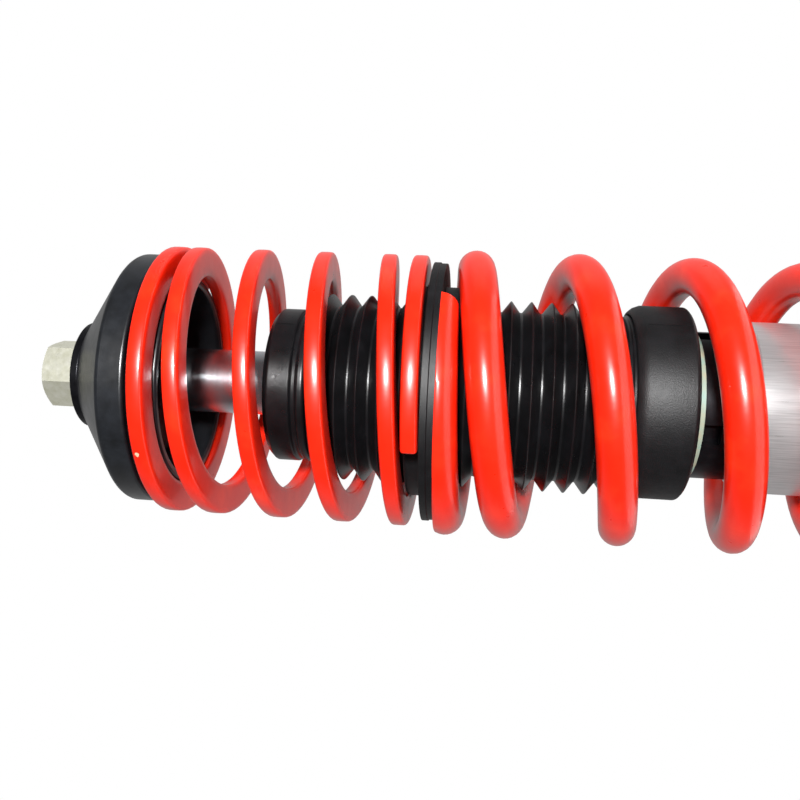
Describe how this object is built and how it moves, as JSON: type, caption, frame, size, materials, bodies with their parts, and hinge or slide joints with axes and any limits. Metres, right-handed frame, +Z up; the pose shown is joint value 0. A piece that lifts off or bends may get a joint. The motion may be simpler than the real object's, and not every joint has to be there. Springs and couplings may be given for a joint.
{
  "type": "coilover",
  "caption": "Coil-over suspension strut with main and helper springs, threaded lower perch, dust boot and lower clamp spigot.",
  "frame": {"origin": "middle of the lower spigot, on the strut's axis", "axes": "+Z up the strut towards the rod's top nut; +X towards the brake-hose bracket"},
  "size_m": [0.109, 0.0872, 0.489],
  "materials": {
    "drawn_steel": "drawn and zinc plated",
    "dark_steel": "turned",
    "black_oxide": "black oxide",
    "pale_nylon": "natural nylon",
    "rubber": "moulded",
    "bronze": "sintered",
    "chrome_rod": "hard chrome, ground",
    "zinc_plate": "zinc plated",
    "moulded_black": "moulded, fine texture",
    "foam": "microcellular foam",
    "boot_rubber": "moulded",
    "black_anodised": "satin black",
    "red_coating": "gloss powder coat"
  },
  "bodies": {
    "tube": {"strut_tube": "drawn_steel", "bottom_plug": "dark_steel", "hose_bracket": "drawn_steel", "drop_link_bracket": "drawn_steel", "gland_nut": "black_oxide", "nylon_packer": "pale_nylon", "oil_seal": "rubber", "rod_guide": "dark_steel", "guide_o_ring": "rubber", "guide_bush": "bronze", "inner_cylinder": "dark_steel", "base_valve": "dark_steel", "boot_collar": "moulded_black", "bump_stop": "foam", "bellows": "boot_rubber"},
    "rod": {"piston_rod": "chrome_rod", "rebound_stop": "rubber", "piston": "dark_steel", "piston_band": "pale_nylon", "piston_shims": "dark_steel", "piston_nut": "zinc_plate", "upper_spring_plate": "black_anodised", "top_washer": "black_oxide", "top_nut": "zinc_plate"},
    "boot_top": {"boot_cap": "boot_rubber"},
    "spring_seat": {"seat_washer": "pale_nylon", "main_spring": "red_coating"},
    "perch": {"perch_collar": "black_anodised", "collar_grub_screw": "dark_steel"},
    "lock": {"lock_ring": "black_anodised"},
    "coupler": {"spring_coupler": "moulded_black", "helper_spring": "red_coating"}
  },
  "joints": [
    {"name": "rod_slide", "type": "slide", "parent": "tube", "child": "rod", "axis": [0, 0, 1], "range_m": [-0.11, 0], "stiffness_N_per_m": 3000, "springref_m": 0.02, "deforming": ["helper_spring"]},
    {"name": "boot_slide", "type": "slide", "parent": "tube", "child": "boot_top", "axis": [0, 0, 1], "range_m": [-0.0661, 0], "deforming": ["bellows"]},
    {"name": "perch_height", "type": "slide", "parent": "tube", "child": "spring_seat", "axis": [0, 0, 1], "range_m": [-0.0401, 0]},
    {"name": "perch_turn", "type": "hinge", "parent": "spring_seat", "child": "perch", "pos_m": [0, 0, 0.185], "axis": [0, 0, 1], "range_deg": [-7200, 0]},
    {"name": "lock_ring_turn", "type": "hinge", "parent": "perch", "child": "lock", "pos_m": [0, 0, 0.163], "axis": [0, 0, 1], "range_deg": [-90, 0]},
    {"name": "coupler_slide", "type": "slide", "parent": "spring_seat", "child": "coupler", "axis": [0, 0, 1], "range_m": [-0.0606, 0], "deforming": ["main_spring"]}
  ],
  "couplings": [
    {"joint": "boot_slide", "follows": "rod_slide", "ratio": 0.6},
    {"joint": "coupler_slide", "follows": "rod_slide", "ratio": 0.55},
    {"joint": "perch_height", "follows": "perch_turn", "m_per_rad": 0.00031831}
  ]
}
